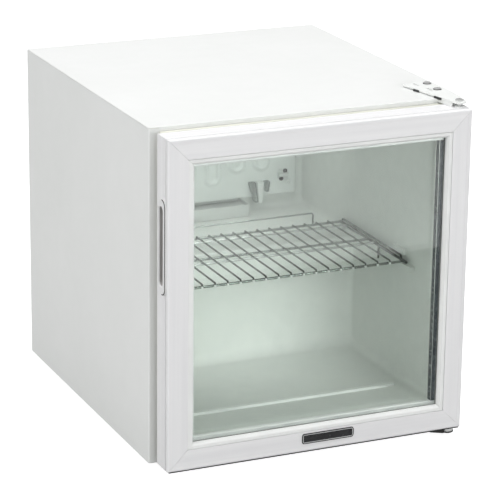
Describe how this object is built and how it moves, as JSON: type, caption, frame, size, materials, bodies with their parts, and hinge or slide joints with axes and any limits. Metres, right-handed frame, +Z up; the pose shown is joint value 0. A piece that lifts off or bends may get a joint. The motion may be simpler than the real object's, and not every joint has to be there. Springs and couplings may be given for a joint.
{
  "type": "bar fridge",
  "caption": "Compact bar fridge: white steel cabinet, right-hinged framed glass door with a side finger grip, wire shelf inside, compressor bay and wire condenser behind.",
  "frame": {"origin": "centre of the footprint, on the surface that the feet stand on", "axes": "+X to the right seen from the front, -Y out of the door, +Z up"},
  "size_m": [0.43, 0.5164, 0.4559],
  "materials": {
    "white_steel": "smooth white powder paint",
    "white_frame": "white painted aluminium extrusion",
    "white_liner": "white formed plastic sheet",
    "foam": "rigid foam",
    "bright_wire": "bright plated wire",
    "plain_aluminium": "satin",
    "clear_plastic": "clear moulded plastic",
    "white_plastic": "white moulded plastic",
    "tinted_glass": "clear glass with a slight green tint",
    "seal_rubber": "pale grey seal",
    "dark_plate": "glossy black plate with a bright rim",
    "grip_plastic": "pale moulded plastic",
    "zinc_steel": "bright zinc plate",
    "black_rubber": "moulded rubber",
    "black_paint": "black enamel",
    "copper": "drawn copper tube",
    "dark_plastic": "dark moulded plastic",
    "pale_plastic": "pale moulded plastic"
  },
  "bodies": {
    "cabinet": {"left_panel": "white_steel", "right_panel": "white_steel", "top_panel": "white_steel", "back_panel": "white_steel", "compartment_panel": "zinc_steel", "base_pan": "zinc_steel", "insulation_foam": "foam", "inner_liner": "white_liner", "evaporator_plate": "plain_aluminium", "plate_spacers": "white_plastic", "plate_screws": "white_plastic", "bulb_clips": "clear_plastic", "capillary_clamp": "plain_aluminium", "clamp_screws": "zinc_steel", "drip_tray": "white_plastic", "top_hinge_bracket": "white_steel", "top_hinge_pin": "zinc_steel", "top_hinge_screws": "zinc_steel", "bottom_hinge_bracket": "zinc_steel", "bottom_hinge_pin": "zinc_steel", "bottom_hinge_screws": "zinc_steel", "foot_nuts": "zinc_steel", "rear_feet": "black_rubber", "compressor_base": "zinc_steel", "compressor": "black_paint", "compressor_grommets": "black_rubber", "compressor_bolts": "zinc_steel", "relay_cover": "dark_plastic", "evaporation_tray": "pale_plastic", "condenser_tube": "black_paint", "condenser_wires": "black_paint", "condenser_brackets": "dark_plastic", "condenser_screws": "zinc_steel", "back_panel_screws": "zinc_steel", "discharge_tube": "copper", "filter_drier": "copper", "liquid_tube": "copper", "capillary_tube": "copper", "suction_tube": "copper", "tube_grommets": "black_rubber", "thermostat_box": "pale_plastic", "compressor_lead": "dark_plastic", "power_gland": "dark_plastic"},
    "door": {"door_top_rail": "white_frame", "door_bottom_rail": "white_frame", "door_left_stile": "white_frame", "door_right_stile": "white_frame", "glazing_beads": "white_plastic", "corner_keys": "dark_plastic", "outer_glass": "tinted_glass", "inner_glass": "tinted_glass", "glass_spacer": "plain_aluminium", "door_gasket": "seal_rubber", "badge_plate": "dark_plate", "handle_insert": "grip_plastic", "door_bushes": "white_plastic"},
    "shelf": {"wire_shelf": "bright_wire"},
    "knob": {"thermostat_knob": "dark_plastic"},
    "foot_left": {"front_foot_left": "black_rubber"},
    "foot_right": {"front_foot_right": "black_rubber"}
  },
  "joints": [
    {"name": "door_hinge", "type": "hinge", "parent": "cabinet", "child": "door", "pos_m": [0.195, -0.24, 0], "axis": [0, 0, 1], "range_deg": [0, 120]},
    {"name": "shelf_slide", "type": "slide", "parent": "cabinet", "child": "shelf", "axis": [0, -1, 0], "range_m": [0, 0.06]},
    {"name": "knob_turn", "type": "hinge", "parent": "cabinet", "child": "knob", "pos_m": [-0.189, 0.236, 0.123], "axis": [0, 1, 0], "range_deg": [-140, 140]},
    {"name": "left_foot_turn", "type": "hinge", "parent": "cabinet", "child": "foot_left", "pos_m": [-0.14, -0.165, 0], "axis": [0, 0, 1], "continuous": true},
    {"name": "right_foot_turn", "type": "hinge", "parent": "cabinet", "child": "foot_right", "pos_m": [0.14, -0.165, 0], "axis": [0, 0, 1], "continuous": true}
  ]
}
